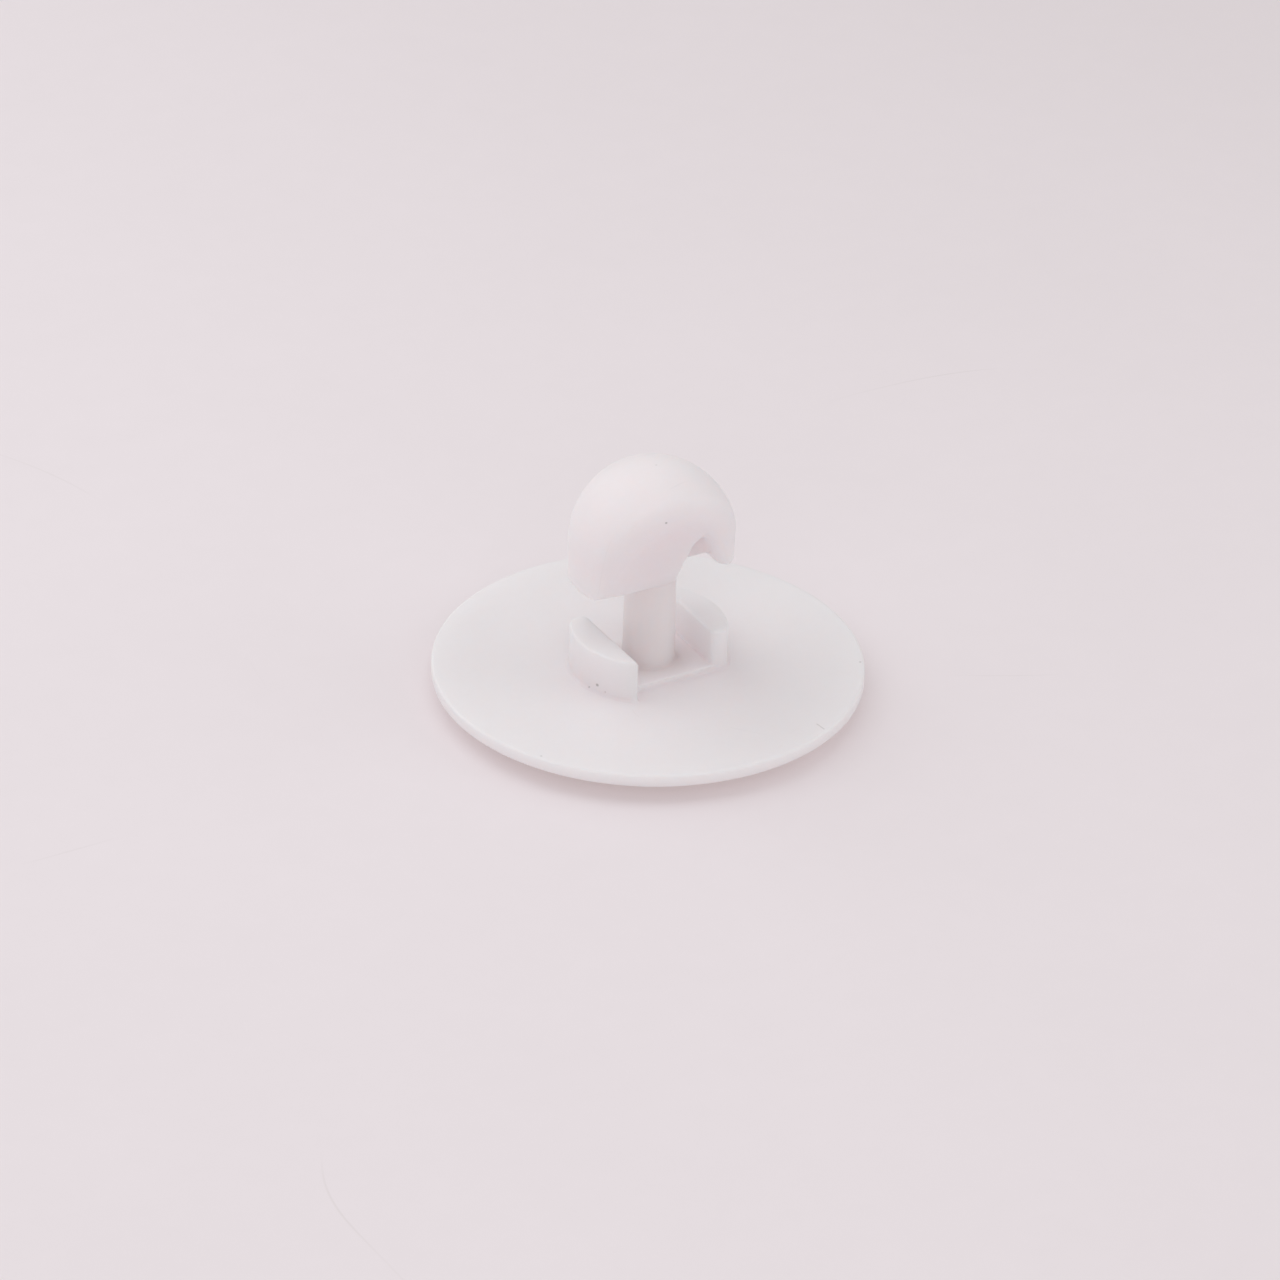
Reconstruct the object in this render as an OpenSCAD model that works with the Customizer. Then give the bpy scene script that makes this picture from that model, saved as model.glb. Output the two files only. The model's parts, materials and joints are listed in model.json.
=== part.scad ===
// Panel mounting clip: a round cover disc with a short stem and a rounded locking head.
// The head is a bar with two arms. It goes through a hole in a panel and is then turned.
// Two blocks, left over from a round boss, sit in the hole and centre the clip.
// The clip is one moulded piece. Millimetres, +Z up, the arms of the head lie along X.

/* [Disc] */
// Diameter of the round cover disc
disc_d = 20; // [16:0.5:26]
// Thickness of the disc at its rim
rim_t = 0.6; // [0.4:0.1:1.2]
// How far the shallow dome of the visible face stands out below the rim
dome_h = 0.9; // [0.4:0.1:1.4]
// Rounding of the upper edge of the rim
rim_r = 0.12; // [0.05:0.01:0.18]

/* [Blocks] */
// Diameter of the boss that the two blocks are parts of
boss_d = 7.3; // [6.6:0.1:8.4]
// Height of the blocks above the disc
boss_h = 2.05; // [1.2:0.05:2.8]
// Width of the slot between the two blocks
slot_w = 4.4; // [3.6:0.1:4.8]
// Distance from the middle to the flat end of each block
flat_y = 2.1; // [1.6:0.1:2.5]
// Rounding of the two upright edges at the flat end
tip_r = 0.3; // [0.1:0.05:0.4]
// Height of the low step that joins the blocks across the slot
step_h = 0.3; // [0.1:0.05:0.8]

/* [Stem] */
// Diameter of the stem where it leaves the disc
stem_foot_d = 2.45; // [2:0.05:2.8]
// Diameter of the stem where it enters the head
stem_top_d = 2.35; // [1.8:0.05:2.6]

/* [Head] */
// Diameter of the domed head, which is also its length over both arms
head_d = 7.8; // [7:0.1:9]
// Free height between the disc and the underside of the arms
grip_h = 4.8; // [3.6:0.1:6.5]
// Height of the upright lower part of the arms, below the dome
skirt_h = 1.8; // [1.2:0.1:2.4]
// Thickness of the bar at the underside of its arms
foot_w = 2.55; // [2.4:0.05:3]
// Lean of the two long sides of the head, outwards on the way up
side_lean = 19; // [12:1:24]
// Rounding between a long side and the dome
side_r = 1.15; // [0.5:0.05:1.3]

/* [Pockets] */
// Distance from the middle to the inner foot of each pocket
pocket_in = 0.6; // [0.4:0.05:0.9]
// Distance from the middle to the peak of each pocket
pocket_mid = 1.3; // [1:0.05:1.6]
// Distance from the middle to the outer foot of each pocket
pocket_out = 2.95; // [2.5:0.05:3.1]
// Height of the peak above the underside of the arms
pocket_h = 3.3; // [2.2:0.1:3.6]
// Height of the outer foot above the underside of the arms
pocket_foot_h = 0.4; // [0.2:0.05:0.6]
// Rise of the sloping underside of the arms from the outside to the middle
ramp_h = 0.35; // [0.1:0.05:0.5]
// Distance from the middle of the bar to the level part of the underside
ramp_w = 1; // [0.6:0.05:1.1]

/* [Hidden] */
// Facets of a small round, only for the preview mesh
fine = 96;
// Facets of the very large circle that makes the dome of the disc
very_fine = 360;
// Small overlap that keeps joined bodies from only touching
lap = 0.01;
disc_r = disc_d/2;
boss_r = boss_d/2;
head_r = head_d/2;
// Height of the flat upper side of the disc
deck_z = dome_h + rim_t;
// Underside of the arms and the widest level of the head
arm_z = deck_z + grip_h;
waist_z = arm_z + skirt_h;
// Radius of the ball that gives the visible face its dome
dome_r = (disc_r*disc_r + dome_h*dome_h)/(2*dome_h);
// Foot of a leaning side
foot_y = foot_w/2;
// Distance of a leaning side from the middle of the dome
side_m = foot_y*cos(side_lean) + skirt_h*sin(side_lean);
// Radius of the solid inside a leaning side, just wide enough to clear the dome
side_rad = head_r + 3*lap;

// Half section of the disc: flat on top, a shallow dome below, the upper rim edge rounded
module disc_section() {
  intersection() {
    union() {
      square([disc_r, deck_z - rim_r]);
      square([disc_r - rim_r, deck_z]);
      translate([disc_r - rim_r, deck_z - rim_r])
        circle(r = rim_r, $fn = 48);
    }
    translate([0, dome_r])
      circle(r = dome_r, $fn = very_fine);
  }
}

// Cover disc with its domed visible face down
module disc() {
  rotate_extrude($fn = fine)
    disc_section();
}

// Outline of one block: a piece of the boss beyond the slot, with a flat end at the -Y side
module block_outline() {
  far_x = sqrt(boss_r*boss_r - flat_y*flat_y);
  intersection() {
    circle(r = boss_r, $fn = fine);
    union() {
      translate([slot_w/2, tip_r - flat_y])
        square([boss_r, 2*boss_r]);
      translate([slot_w/2 + tip_r, -flat_y])
        square([far_x - slot_w/2 - 2*tip_r, 2*tip_r]);
      translate([slot_w/2 + tip_r, tip_r - flat_y])
        circle(r = tip_r, $fn = 48);
      translate([far_x - tip_r, tip_r - flat_y])
        circle(r = tip_r, $fn = 48);
    }
  }
}

// One block on the disc
module block() {
  translate([0, 0, deck_z - lap])
    linear_extrude(boss_h + lap)
      block_outline();
}

// Low step between the blocks, cut flat at the same distance as the ends of the blocks
module low_step() {
  intersection() {
    translate([0, 0, deck_z - lap])
      cylinder(r = boss_r - tip_r, h = step_h + lap, $fn = fine);
    translate([-slot_w/2 - tip_r, -flat_y, 0])
      cube([slot_w + 2*tip_r, 2*flat_y, deck_z + step_h]);
  }
}

// Stem from the disc into the head
module stem() {
  translate([0, 0, deck_z - lap])
    cylinder(d1 = stem_foot_d, d2 = stem_top_d, h = grip_h + skirt_h/2, $fn = fine);
}

// The round head before its sides and its underside are cut: a ball in an upright skirt
module round_head() {
  translate([0, 0, arm_z - 1])
    cylinder(r = head_r, h = skirt_h + 1, $fn = fine);
  translate([0, 0, waist_z])
    sphere(r = head_r, $fn = fine);
}

// Everything below the arms
module below_arms() {
  translate([-head_d, -head_d, arm_z - head_d])
    cube([2*head_d, 2*head_d, head_d]);
}

// Half section of the solid inside one leaning side: a flat end with a large round rim
module side_section() {
  translate([0, -head_d])
    square([side_rad, head_d + side_m - side_r]);
  translate([0, -head_d])
    square([side_rad - side_r, head_d + side_m]);
  translate([side_rad - side_r, side_m - side_r])
    circle(r = side_r, $fn = fine);
}

// Everything inside the leaning side on the -Y side of the head
module side_solid() {
  translate([0, 0, waist_z])
    rotate([90 + side_lean, 0, 0])
      rotate_extrude($fn = fine)
        side_section();
}

// Room cut from one arm on its -Y side, up to a wall in the middle of the bar
module pocket() {
  rotate([90, 0, 0])
    linear_extrude(head_r)
      polygon([
        [pocket_in, arm_z - 5*lap],
        [pocket_mid, arm_z + pocket_h],
        [pocket_out, arm_z + pocket_foot_h],
        [pocket_out + pocket_foot_h + 5*lap, arm_z - 5*lap]
      ]);
}

// Sloping underside of the other half of that arm
module ramp() {
  slope = ramp_h/ramp_w;
  translate([foot_y, 0, 0])
    rotate([90, 0, 90])
      linear_extrude(head_r)
        polygon([
          [-lap, arm_z + ramp_h],
          [2*ramp_w, arm_z + ramp_h - 2*slope*ramp_w],
          [2*ramp_w, arm_z - head_r/2],
          [-lap, arm_z - head_r/2]
        ]);
}

// Solid bar of the head, before its pockets are cut
module bar() {
  difference() {
    intersection() {
      round_head();
      side_solid();
      rotate([0, 0, 180])
        side_solid();
    }
    below_arms();
  }
}

// Stem and locking head, with a pocket and a ramp on each arm, half a turn apart
module head() {
  difference() {
    union() {
      stem();
      bar();
    }
    for (turn = [0, 180])
      rotate([0, 0, turn]) {
        pocket();
        ramp();
      }
  }
}

// The whole clip, moulded in one piece
module clip() {
  color([0.93, 0.91, 0.91])
    union() {
      disc();
      low_step();
      block();
      rotate([0, 0, 180])
        block();
      head();
    }
}

clip();
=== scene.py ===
"""Panel mounting clip on a pale floor: its soft-edged moulded body, finishes, light and camera.

The clip's lengths are in millimetres until its mesh is made; Blender's own lengths are in metres.
Its body is a net on a signed distance, which is negative inside, joined to a turned disc.
"""

import json
import logging
import math
from collections.abc import Callable, Sequence
from dataclasses import dataclass
from enum import Enum
from itertools import product

import bpy
import numpy as np
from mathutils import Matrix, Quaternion, Vector
from mathutils.bvhtree import BVHTree

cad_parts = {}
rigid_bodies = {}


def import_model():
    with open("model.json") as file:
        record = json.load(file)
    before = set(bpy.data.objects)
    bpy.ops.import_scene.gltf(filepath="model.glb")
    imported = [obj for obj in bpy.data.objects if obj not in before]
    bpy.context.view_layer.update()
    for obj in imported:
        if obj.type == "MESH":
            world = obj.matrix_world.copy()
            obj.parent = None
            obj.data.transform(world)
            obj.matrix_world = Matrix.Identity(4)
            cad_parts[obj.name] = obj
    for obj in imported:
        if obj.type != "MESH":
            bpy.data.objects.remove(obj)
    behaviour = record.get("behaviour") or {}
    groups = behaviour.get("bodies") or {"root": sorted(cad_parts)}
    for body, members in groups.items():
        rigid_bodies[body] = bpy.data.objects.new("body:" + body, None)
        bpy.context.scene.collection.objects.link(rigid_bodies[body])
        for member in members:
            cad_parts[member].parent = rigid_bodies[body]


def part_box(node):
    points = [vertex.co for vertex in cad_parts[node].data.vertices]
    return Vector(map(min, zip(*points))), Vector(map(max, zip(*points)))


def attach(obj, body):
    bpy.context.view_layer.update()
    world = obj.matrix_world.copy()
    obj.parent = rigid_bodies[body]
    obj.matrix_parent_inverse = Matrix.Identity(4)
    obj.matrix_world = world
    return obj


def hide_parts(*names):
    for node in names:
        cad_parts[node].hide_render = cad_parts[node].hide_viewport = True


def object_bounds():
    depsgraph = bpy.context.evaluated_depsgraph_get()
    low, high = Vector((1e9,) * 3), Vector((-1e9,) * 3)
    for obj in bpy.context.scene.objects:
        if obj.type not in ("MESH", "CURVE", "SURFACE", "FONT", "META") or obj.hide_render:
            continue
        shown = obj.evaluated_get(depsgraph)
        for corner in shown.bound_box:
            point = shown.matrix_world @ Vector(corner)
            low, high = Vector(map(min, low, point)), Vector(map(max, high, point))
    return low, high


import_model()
CAD_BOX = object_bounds()

MM = 0.001
CLIP_NODE = "clip"
CLIP_BODY = "root"
LOG = logging.getLogger("clip")
# Kinds of socket in a node group, and the inputs that are vectors
VECTOR, NUMBER = "NodeSocketVector", "NodeSocketFloat"
VECTOR_INPUTS = ("Vector", "Start", "End")
# Where a Mix node has its sockets when it mixes colours
MIX_SHARE, MIX_FIRST, MIX_SECOND, MIX_RESULT = 0, 6, 7, 2

Array = np.ndarray
# X, Y and Z of points
XYZ = Sequence[Array]
Distance = Callable[[XYZ], Array]
Pair = tuple[float, float]
Place = tuple[float, float, float]
Colour = tuple[float, float, float]
# Radius and height of a point on the disc's half section, and the same of its outward normal
SectionPoint = tuple[float, float, float, float]
Node = bpy.types.Node
Socket = bpy.types.NodeSocket
NodeTree = bpy.types.NodeTree


def rounded_common(a: Array, b: Array, radius: float | Array) -> Array:
    """Distance to what two solids share, with the edge between them rounded.

    Args:
        a: Signed distance to the first solid, negative inside.
        b: Signed distance to the second solid.
        radius: Radius of the round on the edge, one for all points or one for each.

    Returns:
        Signed distance to the shared solid.
    """
    over_a = np.maximum(a + radius, 0)
    over_b = np.maximum(b + radius, 0)
    return np.minimum(np.maximum(a, b), -radius) + np.hypot(over_a, over_b)


def rounded_union(a: Array, b: Array, radius: float) -> Array:
    """Distance to two solids together, with a fillet where they meet.

    Args:
        a: Signed distance to the first solid, negative inside.
        b: Signed distance to the second solid.
        radius: Radius of the fillet.

    Returns:
        Signed distance to the joined solid.
    """
    return -rounded_common(-a, -b, radius)


def rounded_cut(solid: Array, tool: Array, radius: float) -> Array:
    """Distance to a solid less a tool, with the cut's edges rounded.

    Args:
        solid: Signed distance to the solid.
        tool: Signed distance to what is cut away.
        radius: Radius of the round on the cut's edges.

    Returns:
        Signed distance to what is left.
    """
    return rounded_common(solid, -tool, radius)


class Arm(Enum):
    """The two arms of the head, half a turn apart; the value turns X and Y to that arm."""

    RIGHT = 1
    LEFT = -1

    def turned(self, at: XYZ) -> XYZ:
        """X, Y and Z of points, turned to this arm."""
        return self.value * at[0], self.value * at[1], at[2]


@dataclass(frozen=True)
class CoverDisc:
    """Round cover disc: flat on top, a shallow dome below, which is the visible face in use.

    The rings on the deck are placed by shares of the way out.
    """

    radius: float
    rim: float = 0.6
    dome: float = 0.9
    top_round: float = 0.12
    low_round: float = 0.1
    segments: int = 288
    deck_shares: tuple[float, ...] = (0, 0.3, 0.65, 0.9, 0.98)
    dome_rings: int = 28
    round_steps: int = 7

    @property
    def deck(self) -> float:
        """Height of the flat upper side."""
        return self.dome + self.rim

    @property
    def ball(self) -> float:
        """Radius of the ball that gives the dome its form."""
        return (self.radius**2 + self.dome**2) / (2 * self.dome)

    def bend(self, centre: Pair, radius: float, start: float, turn: float) -> list[SectionPoint]:
        """Lays points along one round of the half section.

        Args:
            centre: Radius and height of the round's middle.
            radius: Radius of the round.
            start: Angle of its first point, in radians up from outwards.
            turn: How far it turns.

        Returns:
            The points.
        """
        angles = [start + turn * step / self.round_steps for step in range(self.round_steps + 1)]
        normals = [(math.cos(angle), math.sin(angle)) for angle in angles]
        return [(*(c + radius * n for c, n in zip(centre, normal)), *normal) for normal in normals]

    def profile(self, inner: float) -> list[SectionPoint]:
        """Half section from the deck round the rim to the middle of the dome.

        Args:
            inner: Radius on the deck at which the section starts.

        Returns:
            The points.
        """
        top = self.radius - self.top_round
        places = [share * top + (1 - share) * inner for share in self.deck_shares]
        points = [(place, self.deck, 0.0, 1.0) for place in places]
        centre = (top, self.deck - self.top_round)
        points += self.bend(centre, self.top_round, math.pi / 2, -math.pi / 2)
        low = self.radius - self.low_round
        reach = self.ball - self.low_round
        last = math.asin(low / reach)
        centre = (low, self.ball - math.sqrt(reach**2 - low**2))
        points += self.bend(centre, self.low_round, 0.0, last - math.pi / 2)
        for ring in range(self.dome_rings - 1, 0, -1):
            angle = last * ring / self.dome_rings
            normal = (math.sin(angle), -math.cos(angle))
            points.append((self.ball * normal[0], self.ball * (1 + normal[1]), *normal))
        return points

    def distance(self, at: XYZ) -> Array:
        """Signed distance to everything below the deck."""
        x, y, z = at
        return z - self.deck + 0 * (x + y)


@dataclass(frozen=True)
class CentringBlocks:
    """Two blocks left over from a round boss, and the low step that joins them.

    The blocks' height and the step's are above the deck, and flat is how far out their ends are.
    """

    deck: float
    boss_radius: float = 3.65
    height: float = 2.05
    slot: float = 4.4
    flat: float = 2.1
    step: float = 0.3
    tip_round: float = 0.3
    edge_round: float = 0.11
    step_round: float = 0.06

    def block(self, at: XYZ) -> Array:
        """Measures the block beyond the slot on the +X side.

        Args:
            at: X, Y and Z of the points.

        Returns:
            Signed distance, negative inside.
        """
        x, y, z = at
        outline = rounded_common(np.hypot(x, y) - self.boss_radius, self.slot / 2 - x, self.edge_round)
        outline = rounded_common(outline, -self.flat - y, self.tip_round)
        return rounded_common(outline, z - self.deck - self.height, self.edge_round)

    def low_step(self, at: XYZ) -> Array:
        """Measures the low step between the blocks.

        Args:
            at: X, Y and Z of the points.

        Returns:
            Signed distance, negative inside.
        """
        x, y, z = at
        inside = np.hypot(x, y) - self.boss_radius + self.tip_round
        ends = np.abs(y) - self.flat
        return rounded_common(np.maximum(inside, ends), z - self.deck - self.step, self.step_round)

    def distance(self, at: XYZ) -> Array:
        """Signed distance to both blocks and the step."""
        blocks = np.minimum(*(self.block(arm.turned(at)) for arm in Arm))
        return rounded_union(blocks, self.low_step(at), self.step_round)


@dataclass(frozen=True)
class Stem:
    """Slightly tapered round stem from the deck into the head."""

    deck: float
    length: float = 5.7
    foot_radius: float = 1.225
    top_radius: float = 1.175

    def distance(self, at: XYZ) -> Array:
        """Measures the stem, which also runs on below the deck.

        Args:
            at: X, Y and Z of the points.

        Returns:
            Signed distance, negative inside.
        """
        x, y, z = at
        share = (z - self.deck) / self.length
        radius = self.foot_radius + share * (self.top_radius - self.foot_radius)
        return np.maximum(np.hypot(x, y) - radius, z - self.deck - self.length)


@dataclass(frozen=True)
class LockingHead:
    """Domed bar with two leaning sides, a one-sided pocket in each arm and sloping undersides.

    Attributes:
        deck: Height of the disc's flat upper side.
        grip: Free height between the deck and the underside of the arms.
        skirt: Height of the upright lower part of the arms.
        radius: Height of the dome above the skirt.
        bulge: How much wider than that the dome is at each side.
        foot_half: Half the bar's thickness at its underside.
        lean: Lean of the two long sides, in radians.
        side_round: Round between a side and the dome, at the underside and at the waist.
        under_round: Round on the underside's edges, near the middle and at the arms' ends.
        under_span: Distances out between which that round grows.
        stem_fillet: Fillet between the stem and the bar.
        pocket_foot: Distance out to the inner foot of each pocket.
        pocket_peak: Distance out and height of its peak, above the underside.
        pocket_toe: Distance out and height of its outer foot.
        pocket_drop: How far it runs on below the underside.
        pocket_round: Round in its corners.
        scoop_round: Scoop between its outer wall and its back.
        inner_round: Scoop at its inner wall.
        scoop_foot: Height at which the scoops end, and how fast that falls towards the back.
        cut_round: Round on its edges.
        toe_round: Round on the edges of its toe.
        toe_span: Distances out between which the toe's round sets in.
        toe_rise: Heights between which it sets in.
        ramp: Width and rise of the sloping underside.
        ramp_end: Distance out at which the slope ends.
        ramp_round: Round on the slope's edges.
    """

    deck: float
    grip: float = 4.8
    skirt: float = 1.8
    radius: float = 3.9
    bulge: float = 0.05
    foot_half: float = 1.275
    lean: float = math.radians(19)
    side_round: Pair = (0.35, 0.8)
    under_round: Pair = (0.1, 0.38)
    under_span: Pair = (2.0, 3.4)
    stem_fillet: float = 0.14
    pocket_foot: float = 0.6
    pocket_peak: Pair = (1.3, 3.3)
    pocket_toe: Pair = (2.7, 0.52)
    pocket_drop: float = 0.05
    pocket_round: float = 0.04
    scoop_round: float = 1.7
    inner_round: float = 1.0
    scoop_foot: Pair = (0.28, 0.66)
    cut_round: float = 0.16
    toe_round: float = 0.5
    toe_span: Pair = (1.2, 2.2)
    toe_rise: Pair = (-0.5, 0.8)
    ramp: Pair = (1.0, 0.28)
    ramp_end: float = 3.1
    ramp_round: float = 0.08

    @property
    def arm_level(self) -> float:
        """Height of the underside of the arms."""
        return self.deck + self.grip

    @property
    def waist(self) -> float:
        """Height of the middle of the dome's ball."""
        return self.arm_level + self.skirt

    def bar(self, at: XYZ) -> Array:
        """Measures the domed bar before its pockets are cut.

        Args:
            at: X, Y and Z of the points.

        Returns:
            Signed distance, negative inside.
        """
        x, y, z = at
        up = z - self.waist
        wide = self.radius + self.bulge
        dome = np.maximum(up, 0) * wide / self.radius
        solid = np.sqrt(x**2 + y**2 + dome**2) - wide
        side_distance = self.foot_half * math.cos(self.lean) + self.skirt * math.sin(self.lean)
        side_round = np.interp(up, (-self.skirt, 0), self.side_round)
        for arm in Arm:
            side = arm.value * y * math.cos(self.lean) - up * math.sin(self.lean) - side_distance
            solid = rounded_common(solid, side, side_round)
        under_round = np.interp(np.abs(x), self.under_span, self.under_round)
        return rounded_common(solid, self.arm_level - z, under_round)

    def pocket(self, at: XYZ) -> Array:
        """Measures the room cut from the +X arm on its -Y side.

        Args:
            at: X, Y and Z of the points.

        Returns:
            Signed distance, negative inside.
        """
        x, y, z = at
        up = z - self.arm_level
        foot, peak, toe = (self.pocket_foot, 0.0), self.pocket_peak, self.pocket_toe
        heel = (toe[0] + toe[1], 0.0)

        def wall(start: Pair, end: Pair) -> Array:
            """Distance to the wall through two points of the outline."""
            run, rise = end[0] - start[0], end[1] - start[1]
            return ((up - start[1]) * run - (x - start[0]) * rise) / math.hypot(run, rise)

        inner = wall(foot, peak)
        outer = rounded_union(wall(peak, toe), wall(toe, heel), self.pocket_round)
        level, pitch = self.scoop_foot
        below = (up - level + pitch * y) / math.hypot(1, pitch)
        foot_room = rounded_common(inner, np.maximum(outer, y), self.pocket_round)
        scoop = rounded_common(inner, rounded_common(outer, y, self.scoop_round), self.inner_round)
        room = np.minimum(scoop, np.maximum(foot_room, below))
        return np.maximum(room, -up - self.pocket_drop)

    def pocket_edge(self, at: XYZ) -> Array:
        """Sizes the round on the pocket's edges: small at its inner side, large up the toe.

        Args:
            at: X, Y and Z of the points.

        Returns:
            Radius of the round.
        """
        x, y, z = at
        outward = np.interp(x, self.toe_span, (0, 1))
        upward = np.interp(z - self.arm_level, self.toe_rise, (0, 1))
        return self.cut_round + outward * upward * (self.toe_round - self.cut_round) + 0 * y

    def slope(self, at: XYZ) -> Array:
        """Measures what is cut under the +X arm's other half.

        Args:
            at: X, Y and Z of the points.

        Returns:
            Signed distance, negative inside.
        """
        x, y, z = at
        width, rise = self.ramp
        roof = (z - self.arm_level - rise + y * rise / width) / math.hypot(1, rise / width)
        ends = np.maximum(self.foot_half - x, x - self.ramp_end)
        return np.maximum(np.maximum(roof, -y), ends)

    def distance(self, at: XYZ, stem: Array) -> Array:
        """Measures the head and the stem that carries it, with the pockets and slopes cut.

        Args:
            at: X, Y and Z of the points.
            stem: Signed distance to the stem at those points.

        Returns:
            Signed distance, negative inside.
        """
        solid = rounded_union(self.bar(at), stem, self.stem_fillet)
        for arm in Arm:
            turned = arm.turned(at)
            solid = rounded_cut(solid, self.pocket(turned), self.pocket_edge(turned))
            solid = rounded_cut(solid, self.slope(turned), self.ramp_round)
        return solid


@dataclass
class Surface:
    """Points, faces and normals of a mesh under way."""

    points: Array
    faces: list[tuple[int, ...]]
    normals: Array


@dataclass(frozen=True)
class SurfaceNet:
    """Turns a signed distance into an even net of four-sided faces.

    It nets the box from low to high, and probe is the distance over which slopes are measured.
    """

    low: Place
    high: Place
    pitch: float = 0.08
    smoothings: int = 6
    probe: float = 0.004
    least_slope: float = 1e-6

    def axes(self) -> list[Array]:
        """Grid lines along X, Y and Z, with the first half a pitch from the low corner."""
        counts = [math.ceil((h - l) / self.pitch) for l, h in zip(self.low, self.high)]
        return [l + self.pitch * (np.arange(n + 1) + 0.5) for l, n in zip(self.low, counts)]

    def gradient(self, distance: Distance, points: Array) -> Array:
        """Finds the slope of the distance at each point, by central differences.

        Args:
            distance: Signed distance.
            points: The points, one in each row.

        Returns:
            The slopes, one in each row.
        """
        slopes = []
        for axis in range(3):
            shift = np.zeros(3)
            shift[axis] = self.probe
            ahead = distance((points + shift).T)
            behind = distance((points - shift).T)
            slopes.append((ahead - behind) / (2 * self.probe))
        return np.stack(slopes, axis=1)

    def settle(self, distance: Distance, points: Array, steps: int = 2) -> Array:
        """Moves points along the slope of the distance until they lie on the surface.

        Args:
            distance: Signed distance.
            points: The points, one in each row.
            steps: How often they are moved.

        Returns:
            The moved points.
        """
        for _ in range(steps):
            slope = self.gradient(distance, points)
            size = np.maximum((slope**2).sum(axis=1), self.least_slope)
            points = points - (distance(points.T) / size)[:, None] * slope
        return points

    def build(self, distance: Distance) -> Surface:
        """Nets the surface where the distance is zero.

        Args:
            distance: Signed distance, negative inside.

        Returns:
            The net, open where it runs into the sides of its box.
        """
        xs, ys, zs = self.axes()
        grid = distance((xs[:, None, None], ys[None, :, None], zs[None, None, :]))
        inside = grid < 0
        counts = [n - 1 for n in grid.shape]
        offsets = list(product((0, 1), repeat=3))
        corners = [inside[tuple(slice(o, o + n) for o, n in zip(corner, counts))] for corner in offsets]
        mixed = np.logical_or.reduce(corners) & ~np.logical_and.reduce(corners)
        cells = np.argwhere(mixed)
        index = np.full(mixed.shape, -1)
        index[mixed] = np.arange(len(cells))
        places = self.crossings(grid, cells)
        points = np.array([xs[0], ys[0], zs[0]]) + self.pitch * places
        quads = np.concatenate([self.quads_across(inside, index, axis) for axis in range(3)])
        points = self.smooth(distance, points, quads)
        slope = self.gradient(distance, points)
        normals = slope / np.linalg.norm(slope, axis=1)[:, None]
        return Surface(points, [tuple(q) for q in quads.tolist()], normals)

    @staticmethod
    def crossings(grid: Array, cells: Array) -> Array:
        """Finds the middle of the points where the surface crosses each cell's edges.

        Args:
            grid: Signed distance at each point of the grid.
            cells: Numbers of each cell along X, Y and Z.

        Returns:
            The middles, in grid steps.
        """
        total, count = np.zeros(cells.shape), np.zeros(len(cells))
        for axis in range(3):
            for corner in product((0, 1), repeat=2):
                start = np.insert(corner, axis, 0)
                end = np.insert(corner, axis, 1)
                first = grid[tuple((cells + start).T)]
                second = grid[tuple((cells + end).T)]
                crosses = (first < 0) != (second < 0)
                share = np.where(crosses, first / np.where(crosses, first - second, 1), 0)
                total += crosses[:, None] * (cells + start + share[:, None] * (end - start))
                count += crosses
        return total / count[:, None]

    @staticmethod
    def quads_across(inside: Array, index: Array, axis: int) -> Array:
        """Makes the faces across the grid edges along one axis, wound to face outwards.

        Args:
            inside: Whether each point of the grid lies inside.
            index: Number of each cell's point.
            axis: The axis.

        Returns:
            Four points for each face.
        """
        ahead = np.eye(3, dtype=int)
        right, up = ahead[(axis + 1) % 3], ahead[(axis + 2) % 3]
        first = np.moveaxis(inside, axis, 0)[:-1]
        second = np.moveaxis(inside, axis, 0)[1:]
        found = np.argwhere(np.moveaxis(first != second, 0, axis))
        limit = np.array(index.shape) + (1 - right - up)
        found = found[((found >= right + up) & (found < limit)).all(axis=1)]
        around = [index[tuple((found - step).T)] for step in (0 * up, right, right + up, up)]
        quads = np.stack(around, axis=1)
        leaves = inside[tuple(found.T)]
        return np.where(leaves[:, None], quads, quads[:, ::-1])

    def smooth(self, distance: Distance, points: Array, quads: Array) -> Array:
        """Evens out the net while it stays on the surface.

        Args:
            distance: Signed distance.
            points: Points of the net.
            quads: Faces of the net.

        Returns:
            The moved points.
        """
        ends = np.concatenate([quads, np.roll(quads, -1, axis=1)]).ravel()
        others = np.concatenate([np.roll(quads, -1, axis=1), quads]).ravel()
        degree = np.bincount(ends, minlength=len(points))[:, None]
        for _ in range(self.smoothings):
            sums = [np.bincount(ends, points[others, axis], len(points)) for axis in range(3)]
            points = (points + np.stack(sums, axis=1) / degree) / 2
            points = self.settle(distance, points, steps=1)
        return self.settle(distance, points)


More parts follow.
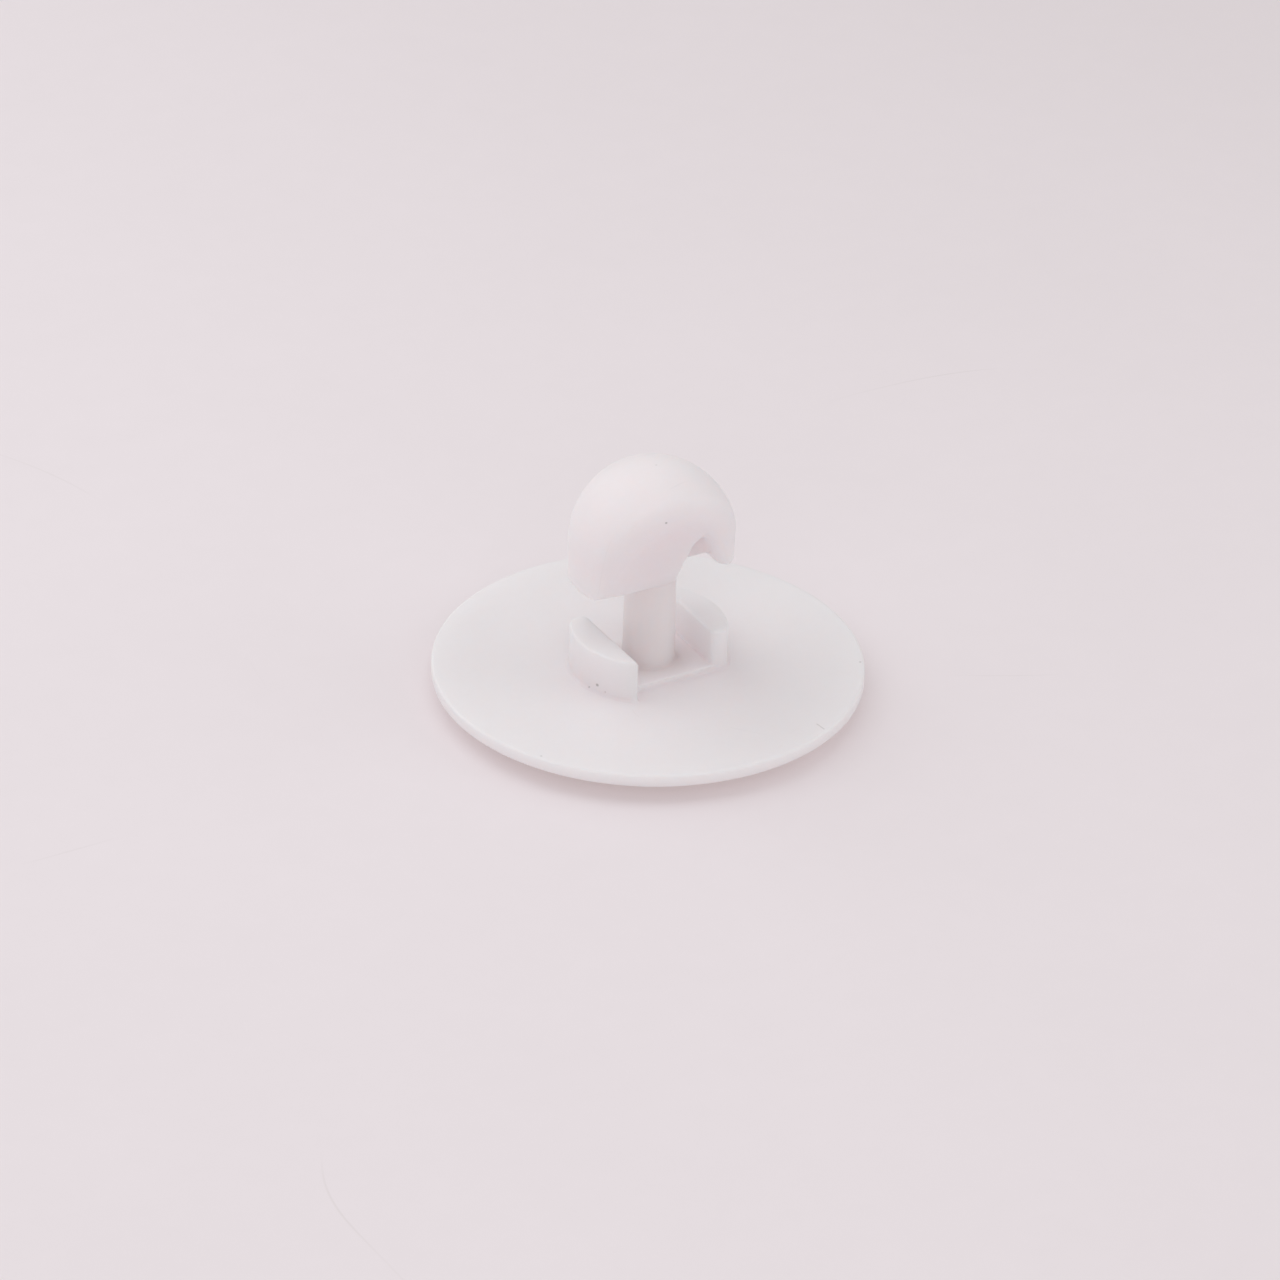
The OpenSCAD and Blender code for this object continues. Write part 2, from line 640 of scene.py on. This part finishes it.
@dataclass(frozen=True)
class Clip:
    """The whole clip, moulded in one piece.

    The net is kept out to join_radius, and the turned disc starts at ring_radius.
    """

    disc: CoverDisc
    blocks: CentringBlocks
    stem: Stem
    head: LockingHead
    foot_fillet: float = 0.16
    net_half: float = 4.72
    net_margin: int = 3
    join_radius: float = 4.15
    ring_radius: float = 4.6

    def distance(self, at: XYZ) -> Array:
        """Measures all that stands on the deck, and the deck itself.

        Args:
            at: X, Y and Z of the points.

        Returns:
            Signed distance, negative inside.
        """
        base = rounded_union(self.disc.distance(at), self.blocks.distance(at), self.foot_fillet)
        upper = self.head.distance(at, self.stem.distance(at))
        return rounded_union(base, upper, self.foot_fillet)

    def core(self) -> tuple[Surface, Array]:
        """Nets the blocks, stem, head and the deck round them.

        Returns:
            The net, and the points of its round open edge in order of their angle.
        """
        top = self.head.waist + self.head.radius
        half, margin = self.net_half, self.net_margin * SurfaceNet.pitch
        net = SurfaceNet((-half, -half, self.disc.deck - margin), (half, half, top + margin))
        surface = net.build(self.distance)
        quads = np.array(surface.faces)
        middle = surface.points[quads].mean(axis=1)
        quads = quads[np.hypot(middle[:, 0], middle[:, 1]) < self.join_radius]
        used, flat = np.unique(quads, return_inverse=True)
        quads = flat.reshape(quads.shape)
        points = surface.points[used]
        edges = np.stack([quads, np.roll(quads, -1, axis=1)], axis=2).reshape(-1, 2)
        pairs, count = np.unique(np.sort(edges, axis=1), axis=0, return_counts=True)
        rim = np.unique(pairs[count == 1])
        rim = rim[np.argsort(np.arctan2(points[rim, 1], points[rim, 0]))]
        return Surface(points, [tuple(q) for q in quads.tolist()], surface.normals[used]), rim

    def turned_disc(self, first: int) -> Surface:
        """Revolves the disc's half section.

        Args:
            first: Number that the first point gets in the whole mesh.

        Returns:
            The rings of the disc, the deck's inner ring first, and the middle of the dome last.
        """
        profile = self.disc.profile(self.ring_radius)
        count = self.disc.segments
        angles = -math.pi + 2 * math.pi * np.arange(count) / count
        circle = np.stack([np.cos(angles), np.sin(angles), 0 * angles], axis=1)
        points = [radius * circle + (0, 0, height) for radius, height, _, _ in profile]
        normals = [out * circle + (0, 0, up) for _, _, out, up in profile]
        faces = []
        for ring in range(len(profile) - 1):
            start = first + ring * count
            for k in range(count):
                after = (k + 1) % count
                faces.append((start + k, start + count + k, start + count + after, start + after))
        last, pole = first + (len(profile) - 1) * count, first + len(profile) * count
        faces += [(last + k, pole, last + (k + 1) % count) for k in range(count)]
        points.append(np.zeros((1, 3)))
        normals.append(np.array([[0.0, 0.0, -1.0]]))
        return Surface(np.concatenate(points), faces, np.concatenate(normals))

    @staticmethod
    def zip_rings(points: Array, inner: list[int], outer: list[int]) -> list[tuple[int, ...]]:
        """Fills the flat band between two rings with triangles.

        Args:
            points: All points of the mesh.
            inner: Points of the inner ring in order of their angle.
            outer: Points of the outer ring in order of their angle.

        Returns:
            Triangles that face up.
        """
        rings = [[*ring, ring[0]] for ring in (inner, outer)]
        turns = [np.arctan2(points[ring, 1], points[ring, 0]) for ring in rings]
        for turn in turns:
            turn[-1] += 2 * math.pi
        faces, i, j = [], 0, 0
        while i < len(inner) or j < len(outer):
            if j == len(outer) or (i < len(inner) and turns[0][i + 1] < turns[1][j + 1]):
                faces.append((rings[0][i], rings[1][j], rings[0][i + 1]))
                i += 1
            else:
                faces.append((rings[0][i], rings[1][j], rings[1][j + 1]))
                j += 1
        return faces

    def build(self) -> bpy.types.Object:
        """Makes the clip's mesh in metres, in the frame of the part.

        Returns:
            The clip as one closed mesh, which stands for the CAD node.
        """
        core, rim = self.core()
        disc = self.turned_disc(len(core.points))
        points = np.concatenate([core.points, disc.points])
        outer = [len(core.points) + k for k in range(self.disc.segments)]
        band = self.zip_rings(points, rim.tolist(), outer)
        mesh = bpy.data.meshes.new("clip_body")
        mesh.from_pydata((points * MM).tolist(), [], core.faces + band + disc.faces)
        mesh.shade_smooth()
        normals = np.concatenate([core.normals, disc.normals])
        mesh.normals_split_custom_set_from_vertices(normals.tolist())
        clip = bpy.data.objects.new("clip_body", mesh)
        bpy.context.scene.collection.objects.link(clip)
        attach(clip, CLIP_BODY)
        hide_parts(CLIP_NODE)
        LOG.info("clip_body: %d points, %d faces", len(mesh.vertices), len(mesh.polygons))
        return clip


@dataclass(frozen=True)
class Viewpoint:
    """Where the camera stands, and the picture's own directions over the floor.

    Angles are in radians and lengths in millimetres, but the range that the camera sees is in
    metres. The middle of the rim falls on rim_pixel.
    """

    azimuth: float = math.radians(-31)
    elevation: float = math.radians(31)
    roll: float = math.radians(1.7)
    distance: float = 500.0
    picture_side: float = 1280.0
    mm_per_pixel: float = 0.04615
    sensor: float = 36.0
    clip_range: Pair = (0.01, 10.0)
    rim_pixel: Pair = (647.7, 673.0)
    rim_height: float = 0.9

    def across_floor(self, right: float, away: float, up: float) -> Vector:
        """A place given by the picture's right and away from the viewer, in metres.

        Args:
            right: Millimetres to the right in the picture.
            away: Millimetres away from the viewer, along the floor.
            up: Millimetres above the floor.

        Returns:
            That place in the frame of the part.
        """
        turn = Quaternion((0, 0, 1), self.azimuth)
        return turn @ Vector((right, away, up)) * MM

    @property
    def back(self) -> Vector:
        """Direction from the clip to the camera."""
        flat, rise = math.cos(self.elevation), math.sin(self.elevation)
        return self.across_floor(0, -flat, rise).normalized()

    @property
    def turn(self) -> Quaternion:
        """Turn of the camera, its roll included."""
        return (-self.back).to_track_quat("-Z", "Y") @ Quaternion((0, 0, 1), self.roll)

    def aim(self) -> Vector:
        """Finds what the camera looks at.

        Returns:
            Place that lies in the middle of the picture, so that the rim falls on its pixel.
        """
        half = self.picture_side / 2
        right = (half - self.rim_pixel[0]) * self.mm_per_pixel * MM
        up = (self.rim_pixel[1] - half) * self.mm_per_pixel * MM
        return Vector((0, 0, self.rim_height * MM)) + self.turn @ Vector((right, up, 0))

    def ray(self, pixel: Pair) -> tuple[Vector, Vector]:
        """Finds the line of sight through a pixel of the picture.

        Args:
            pixel: The pixel, from the left and from the top.

        Returns:
            Where the line starts, and its direction.
        """
        half = self.picture_side / 2
        right, down = ((value - half) * self.mm_per_pixel * MM for value in pixel)
        eye = self.aim() + self.back * self.distance * MM
        seen = self.aim() + self.turn @ Vector((right, -down, 0))
        return eye, (seen - eye).normalized()

    def build(self) -> bpy.types.Object:
        """Makes the camera and gives it to the scene.

        Returns:
            The camera.
        """
        data = bpy.data.cameras.new("camera")
        data.sensor_width = self.sensor
        data.lens = self.sensor * self.distance / (self.picture_side * self.mm_per_pixel)
        data.clip_start, data.clip_end = self.clip_range
        camera = bpy.data.objects.new("camera", data)
        bpy.context.scene.collection.objects.link(camera)
        camera.rotation_mode = "QUATERNION"
        camera.rotation_quaternion = self.turn
        camera.location = self.aim() + self.back * self.distance * MM
        bpy.context.scene.camera = camera
        return camera


class NodeSheet:
    """A node tree with short ways to add and join nodes."""

    def __init__(self, tree: NodeTree) -> None:
        """Starts an empty sheet on a tree."""
        self.tree = tree
        self.tree.nodes.clear()

    def feed(self, socket: Socket, value: object) -> None:
        """Fills an input.

        Args:
            socket: The input.
            value: Another node's output, which is joined to it, or a plain value.
        """
        if isinstance(value, Socket):
            self.tree.links.new(value, socket)
        else:
            socket.default_value = value

    def add(self, kind: str, **settings: object) -> Node:
        """Adds a node.

        Args:
            kind: Blender's name of the node type.
            settings: Properties of the node, and what its inputs are fed, with _ for spaces.

        Returns:
            The node.
        """
        node = self.tree.nodes.new(kind)
        for name, value in settings.items():
            if hasattr(node, name):
                setattr(node, name, value)
            else:
                self.feed(node.inputs[name.replace("_", " ")], value)
        return node

    def math(self, operation: str, *values: object) -> Socket:
        """Adds a Math node.

        Args:
            operation: Blender's name of the operation.
            values: Outputs or numbers for its inputs.

        Returns:
            The result.
        """
        node = self.add("ShaderNodeMath", operation=operation)
        for socket, value in zip(node.inputs, values):
            self.feed(socket, value)
        return node.outputs[0]

    def vector(self, operation: str, *values: Socket, output: str = "Vector") -> Socket:
        """Adds a Vector Math node.

        Args:
            operation: Blender's name of the operation.
            values: Outputs for its inputs.
            output: Name of the output that is wanted.

        Returns:
            The result.
        """
        node = self.add("ShaderNodeVectorMath", operation=operation)
        for socket, value in zip(node.inputs, values):
            self.feed(socket, value)
        return node.outputs[output]

    def rest(self, share: Socket) -> Socket:
        """What a share leaves of 1."""
        return self.math("SUBTRACT", 1.0, share)

    def clamped(self, value: Socket) -> Socket:
        """The value, held between 0 and 1."""
        return self.math("MINIMUM", self.math("MAXIMUM", value, 0.0), 1.0)

    def noise(self, vector: Socket, scale: object, detail: float) -> Socket:
        """Adds a noise texture and gives its value."""
        texture = self.add("ShaderNodeTexNoise", Vector=vector, Scale=scale, Detail=detail)
        return texture.outputs["Fac"]

    def mixed(self, share: Socket, first: object, second: object) -> Socket:
        """Mixes two colours.

        Args:
            share: Share of the second colour, from 0 to 1.
            first: First colour, as an output or three numbers.
            second: Second colour, likewise.

        Returns:
            The mixed colour.
        """
        node = self.add("ShaderNodeMix", data_type="RGBA")
        self.feed(node.inputs[MIX_SHARE], share)
        for index, value in ((MIX_FIRST, first), (MIX_SECOND, second)):
            self.feed(node.inputs[index], value if isinstance(value, Socket) else (*value, 1.0))
        return node.outputs[MIX_RESULT]


class FinishSheet(NodeSheet):
    """The sheet of a new material, with coordinates in metres on the object it is for."""

    def __init__(self, name: str) -> None:
        """Starts a material.

        Args:
            name: Name of the material.
        """
        self.material = bpy.data.materials.new(name)
        self.material.use_nodes = True
        super().__init__(self.material.node_tree)
        self.place = self.add("ShaderNodeTexCoord").outputs["Object"]

    def show(self, **values: object) -> bpy.types.Material:
        """Ends the material.

        Args:
            values: What its shader's inputs are fed, with _ for spaces.

        Returns:
            The material.
        """
        shader = self.add("ShaderNodeBsdfPrincipled", **values)
        self.add("ShaderNodeOutputMaterial", Surface=shader.outputs["BSDF"])
        return self.material


class EffectSheet(NodeSheet):
    """The sheet of a new node group that puts out one mask, with a method for each effect."""

    def __init__(self, name: str, titles: tuple[str, ...]) -> None:
        """Starts a group.

        Args:
            name: Name of the group.
            titles: Names of its inputs besides the vector.
        """
        super().__init__(bpy.data.node_groups.new(name, "ShaderNodeTree"))
        sockets = self.tree.interface
        for title in ("Vector", *titles):
            kind = VECTOR if title in VECTOR_INPUTS else NUMBER
            sockets.new_socket(name=title, in_out="INPUT", socket_type=kind)
        sockets.new_socket(name="Mask", in_out="OUTPUT", socket_type=NUMBER)
        self.given = self.add("NodeGroupInput").outputs

    def mottle(self) -> Socket:
        """Draws a cloudy shade of large soft patches with a finer grain in them.

        Returns:
            The shade, from 0 to 1.
        """
        given, finer = self.given, 9.0
        patches = self.noise(given["Vector"], given["Scale"], detail=3.0)
        grain_scale = self.math("MULTIPLY", given["Scale"], finer)
        grain = self.noise(given["Vector"], grain_scale, detail=2.0)
        grain_part = self.math("MULTIPLY", grain, given["Grain"])
        patch_part = self.math("MULTIPLY", patches, self.rest(given["Grain"]))
        return self.math("ADD", grain_part, patch_part)

    def dust(self) -> Socket:
        """Draws small scattered specks, each in a cell of its own and most cells bare.

        Returns:
            Mask of the specks.
        """
        least_size, edge_gain = 0.25, 2.5
        given = self.given
        cells = self.add("ShaderNodeTexVoronoi", Vector=given["Vector"], Scale=given["Scale"])
        picks = self.add("ShaderNodeSeparateColor", Color=cells.outputs["Color"])
        chosen = self.math("LESS_THAN", picks.outputs["Red"], given["Share"])
        own_size = self.math("ADD", picks.outputs["Green"], least_size)
        size = self.math("MULTIPLY", given["Size"], own_size)
        inside = self.math("SUBTRACT", size, cells.outputs["Distance"])
        nearness = self.math("DIVIDE", inside, size)
        speck = self.clamped(self.math("MULTIPLY", nearness, edge_gain))
        return self.math("MULTIPLY", speck, chosen)

    def hairlines(self) -> Socket:
        """Draws long thin marks that fade in and out, as of light scratches.

        Returns:
            Mask of the marks.
        """
        middle, finer, fade_gain = 0.5, 2.7, 6.0
        given = self.given
        lines = self.noise(given["Vector"], given["Scale"], detail=0.0)
        offset = self.math("ABSOLUTE", self.math("SUBTRACT", lines, middle))
        thin = self.rest(self.math("DIVIDE", offset, given["Width"]))
        break_scale = self.math("MULTIPLY", given["Scale"], finer)
        breaks = self.noise(given["Vector"], break_scale, detail=1.0)
        kept = self.math("SUBTRACT", breaks, self.rest(given["Share"]))
        fade = self.clamped(self.math("MULTIPLY", kept, fade_gain))
        return self.math("MULTIPLY", self.clamped(thin), fade)

    def stroke(self) -> Socket:
        """Draws one short stroke from a start to an end, soft at its sides.

        Returns:
            Mask of the stroke.
        """
        least_square, edge_gain = 1e-12, 1.8
        given = self.given
        along = self.vector("SUBTRACT", given["End"], given["Start"])
        away = self.vector("SUBTRACT", given["Vector"], given["Start"])
        square = self.vector("DOT_PRODUCT", along, along, output="Value")
        reach = self.vector("DOT_PRODUCT", away, along, output="Value")
        square = self.math("MAXIMUM", square, least_square)
        share = self.clamped(self.math("DIVIDE", reach, square))
        nearest = self.vector("MULTIPLY", along, share)
        apart = self.vector("DISTANCE", away, nearest, output="Value")
        fade = self.rest(self.math("DIVIDE", apart, given["Width"]))
        return self.clamped(self.math("MULTIPLY", fade, edge_gain))


class Effect(Enum):
    """Effects that more than one material uses; the value names the effect's own inputs."""

    MOTTLE = ("Scale", "Grain")
    DUST = ("Scale", "Size", "Share")
    HAIRLINES = ("Scale", "Width", "Share")
    STROKE = ("Start", "End", "Width")

    def tree(self) -> NodeTree:
        """Finds the node group of this effect.

        Returns:
            The group, made on first use.
        """
        name = self.name.lower()
        made = bpy.data.node_groups.get(name)
        if made is None:
            sheet = EffectSheet(name, self.value)
            makers = {
                Effect.MOTTLE: sheet.mottle,
                Effect.DUST: sheet.dust,
                Effect.HAIRLINES: sheet.hairlines,
                Effect.STROKE: sheet.stroke,
            }
            sheet.add("NodeGroupOutput", Mask=makers[self]())
            made = sheet.tree
        return made

    def place(self, sheet: FinishSheet, **values: object) -> Socket:
        """Puts the effect into a material.

        Args:
            sheet: The material's sheet.
            values: The effect's own values by the names of its inputs.

        Returns:
            The effect's output.
        """
        node = sheet.add("ShaderNodeGroup", node_tree=self.tree(), Vector=sheet.place, **values)
        return node.outputs[0]


@dataclass(frozen=True)
class Mark:
    """A small dark speck or scratch, placed by where it shows in the picture.

    Its width is in millimetres, and its reach is the way to its other end in pixels.
    """

    start: Pair
    width: float
    reach: Pair = (0.5, 0.0)
    strength: float = 0.7

    def ends(self, view: Viewpoint, tree: BVHTree) -> tuple[Vector, Vector] | None:
        """Finds both ends of the mark on a surface.

        Args:
            view: Viewpoint of the picture.
            tree: The surface, in metres in the frame of the part.

        Returns:
            The two ends, or None where the picture shows no surface.
        """
        last = (self.start[0] + self.reach[0], self.start[1] + self.reach[1])
        hits = [tree.ray_cast(*view.ray(pixel))[0] for pixel in (self.start, last)]
        return (hits[0], hits[1]) if all(hits) else None


@dataclass(frozen=True)
class MouldedPlastic:
    """White plastic with a soft sheen, a fine moulded grain and a little dust.

    Painted shade darkens the stem and the slot floor round it, and ends between two distances
    out and two heights. Grain and waves are each a scale and a height, and the lit values say how
    much light goes in, and how far.
    """

    light: Colour = (0.88, 0.832, 0.852)
    shade: Colour = (0.85, 0.797, 0.812)
    dirt: Colour = (0.33, 0.30, 0.29)
    # Painted shade: a darker colour on the stem and the slot floor round it, which lie in shade under
    # the head
    stem: Colour = (0.805, 0.757, 0.762)
    painted_shade_reach: Pair = (1.3, 2.3)
    painted_shade_top: Pair = (6.0, 6.9)
    roughness: Pair = (0.44, 0.6)
    hairlines: float = 0.12
    grain: Pair = (9000.0, 0.003)
    waves: Pair = (500.0, 0.012)
    relief: float = 0.6
    lit_share: float = 0.9
    lit_depth: float = 2.4
    lit_colours: Colour = (1.0, 0.85, 0.8)
    marks: tuple[Mark, ...] = (
        Mark((656, 465), 0.05, strength=0.3),
        Mark((666, 523), 0.06, strength=0.6),
        Mark((541, 756), 0.06, strength=0.4),
        Mark((597, 685), 0.09, strength=0.6),
        Mark((589, 687), 0.06, strength=0.4),
        Mark((605, 692), 0.05, strength=0.3),
        Mark((860, 662), 0.06, strength=0.5),
        Mark((817, 724), 0.05, (7, 5), 0.3),
    )

    def painted_stem_shade(self, sheet: FinishSheet) -> Socket:
        """Finds where the painted shade on the stem and the slot floor round it goes.

        Args:
            sheet: The material's sheet.

        Returns:
            Share of the painted shade: full on the stem, none on the blocks and the head.
        """
        axes = sheet.add("ShaderNodeSeparateXYZ", Vector=sheet.place).outputs
        squares = [sheet.math("MULTIPLY", axes[name], axes[name]) for name in "XY"]
        radius = sheet.math("SQRT", sheet.math("ADD", *squares))
        shares = []
        for value, ends in ((radius, self.painted_shade_reach), (axes["Z"], self.painted_shade_top)):
            full, none = (end * MM for end in ends)
            limits = {"From_Min": full, "From_Max": none, "To_Min": 1.0, "To_Max": 0.0}
            shares.append(sheet.add("ShaderNodeMapRange", Value=value, **limits).outputs[0])
        return sheet.math("MULTIPLY", *shares)

    def colour(self, sheet: FinishSheet, mottle: Socket, strokes: list[Socket]) -> Socket:
        """Mixes the plastic's colour, with painted shade on the stem and the slot floor round it.

        Args:
            sheet: The material's sheet.
            mottle: Cloudy shade.
            strokes: Shares of dirt on the marks.

        Returns:
            The colour.
        """
        dust = Effect.DUST.place(sheet, Scale=900.0, Size=0.05, Share=0.02)
        lines = Effect.HAIRLINES.place(sheet, Scale=160.0, Width=0.002, Share=0.4)
        colour = sheet.mixed(mottle, self.light, self.shade)
        # Painted shade: the stem and the slot floor round it get a darker colour
        colour = sheet.mixed(self.painted_stem_shade(sheet), colour, self.stem)
        for share in (sheet.math("MULTIPLY", lines, self.hairlines), dust, *strokes):
            colour = sheet.mixed(share, colour, self.dirt)
        return colour

    def strokes(self, sheet: FinishSheet, view: Viewpoint, tree: BVHTree) -> list[Socket]:
        """Puts in the marks that the picture shows on the clip.

        Args:
            sheet: The material's sheet.
            view: Viewpoint of the picture.
            tree: Surface of the clip, in metres in the frame of the part.

        Returns:
            Shares of dirt on the marks.
        """
        shares = []
        for mark in self.marks:
            ends = mark.ends(view, tree)
            if ends:
                values = {"Start": ends[0], "End": ends[1], "Width": mark.width * MM}
                stroke = Effect.STROKE.place(sheet, **values)
                shares.append(sheet.math("MULTIPLY", stroke, mark.strength))
        return shares

    def bump(self, sheet: FinishSheet) -> Socket:
        """Makes the moulded surface.

        Args:
            sheet: The material's sheet.

        Returns:
            The surface's normal.
        """
        parts = []
        for scale, height in (self.grain, self.waves):
            noise = sheet.noise(sheet.place, scale, detail=2.0)
            parts.append(sheet.math("MULTIPLY", noise, height))
        total = sheet.math("ADD", *parts)
        bump = sheet.add("ShaderNodeBump", Strength=self.relief, Distance=MM, Height=total)
        return bump.outputs["Normal"]

    def build(self, view: Viewpoint, tree: BVHTree) -> bpy.types.Material:
        """Makes the material.

        Args:
            view: Viewpoint of the picture that the marks are placed by.
            tree: Surface of the clip, in metres in the frame of the part.

        Returns:
            The material.
        """
        sheet = FinishSheet("moulded_plastic")
        mottle = Effect.MOTTLE.place(sheet, Scale=420.0, Grain=0.35)
        low, high = self.roughness
        return sheet.show(
            Base_Color=self.colour(sheet, mottle, self.strokes(sheet, view, tree)),
            Roughness=sheet.math("ADD", low, sheet.math("MULTIPLY", mottle, high - low)),
            Normal=self.bump(sheet),
            IOR=1.5,
            Specular_IOR_Level=0.4,
            Subsurface_Weight=self.lit_share,
            Subsurface_Radius=self.lit_colours,
            Subsurface_Scale=self.lit_depth * MM,
        )


@dataclass(frozen=True)
class PaleFloor:
    """Plain pale floor with very light marks.

    Its half width is in metres, and its weak glow keeps the shadows on it pale.
    """

    light: Colour = (0.635, 0.597, 0.646)
    shade: Colour = (0.595, 0.561, 0.606)
    mark: Colour = (0.3, 0.28, 0.28)
    glow: Colour = (0.235, 0.204, 0.187)
    hairlines: float = 0.2
    dust: float = 0.4
    half: float = 3.0

    def finish(self) -> bpy.types.Material:
        """Makes the floor's material.

        Returns:
            The material.
        """
        sheet = FinishSheet("pale_floor")
        mottle = Effect.MOTTLE.place(sheet, Scale=60.0, Grain=0.4)
        dust = Effect.DUST.place(sheet, Scale=160.0, Size=0.03, Share=0.03)
        lines = Effect.HAIRLINES.place(sheet, Scale=30.0, Width=0.0012, Share=0.42)
        colour = sheet.mixed(mottle, self.light, self.shade)
        for mask, strength in ((lines, self.hairlines), (dust, self.dust)):
            colour = sheet.mixed(sheet.math("MULTIPLY", mask, strength), colour, self.mark)
        glow = (*self.glow, 1.0)
        return sheet.show(Base_Color=colour, Roughness=0.75, Emission_Color=glow, Emission_Strength=1.0)

    def build(self) -> bpy.types.Object:
        """Lays the floor at the clip's lowest level.

        Returns:
            The floor.
        """
        half = self.half
        corners = [(-half, -half, 0), (half, -half, 0), (half, half, 0), (-half, half, 0)]
        mesh = bpy.data.meshes.new("floor")
        mesh.from_pydata(corners, [], [(0, 1, 2, 3)])
        mesh.materials.append(self.finish())
        floor = bpy.data.objects.new("floor", mesh)
        floor.location.z = CAD_BOX[0].z
        bpy.context.scene.collection.objects.link(floor)
        return floor


@dataclass(frozen=True)
class SoftLight:
    """A round soft lamp, placed by the picture's right, away and up in millimetres."""

    name: str
    place: Place
    power: float
    size: float = 120.0

    def build(self, view: Viewpoint) -> bpy.types.Object:
        """Hangs the lamp so that it points at the clip.

        Args:
            view: Viewpoint of the picture.

        Returns:
            The lamp.
        """
        data = bpy.data.lights.new(self.name, "AREA")
        data.shape = "DISK"
        data.size = self.size * MM
        data.energy = self.power
        lamp = bpy.data.objects.new(self.name, data)
        bpy.context.scene.collection.objects.link(lamp)
        lamp.location = view.across_floor(*self.place)
        lamp.rotation_mode = "QUATERNION"
        lamp.rotation_quaternion = (-lamp.location).to_track_quat("-Z", "Y")
        return lamp


@dataclass(frozen=True)
class Studio:
    """A bright room, and soft lamps above, at the left, behind, in front and at the right."""

    room_colour: Colour = (1.0, 1.0, 1.0)
    room_strength: float = 0.42
    lamps: tuple[SoftLight, ...] = (
        SoftLight("above", (0, 0, 150), 0.037),
        SoftLight("left_high", (-95, 0, 115), 0.027),
        SoftLight("left_low", (-135, 0, 60), 0.013),
        SoftLight("back_left", (-85, 85, 90), 0.034),
        SoftLight("front", (0, -130, 75), 0.035),
        SoftLight("right", (130, 0, 75), 0.034),
    )

    def build(self, view: Viewpoint) -> None:
        """Makes the room light and the lamps, and keeps the picture's tones plain.

        Args:
            view: Viewpoint of the picture.
        """
        scene = bpy.context.scene
        scene.view_settings.view_transform = "Standard"
        world = bpy.data.worlds.new("room")
        world.use_nodes = True
        light = world.node_tree.nodes["Background"]
        light.inputs["Color"].default_value = (*self.room_colour, 1.0)
        light.inputs["Strength"].default_value = self.room_strength
        scene.world = world
        for lamp in self.lamps:
            lamp.build(view)


def main() -> None:
    """Builds the clip, its finish, the floor, the light and the camera, in that order."""
    logging.basicConfig(level=logging.INFO, format="%(name)s: %(message)s")
    low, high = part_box(CLIP_NODE)
    disc = CoverDisc(radius=(high.x - low.x) / 2 / MM)
    clip = Clip(disc, CentringBlocks(disc.deck), Stem(disc.deck), LockingHead(disc.deck)).build()
    view = Viewpoint()
    view.build()
    mesh = clip.data
    points = [vertex.co for vertex in mesh.vertices]
    surface = BVHTree.FromPolygons(points, [face.vertices for face in mesh.polygons])
    mesh.materials.append(MouldedPlastic().build(view, surface))
    LOG.info("finish: %s", mesh.materials[0].name)
    floor = PaleFloor().build()
    LOG.info("stage: %s", floor.name)
    Studio().build(view)


if __name__ == "__main__":
    main()
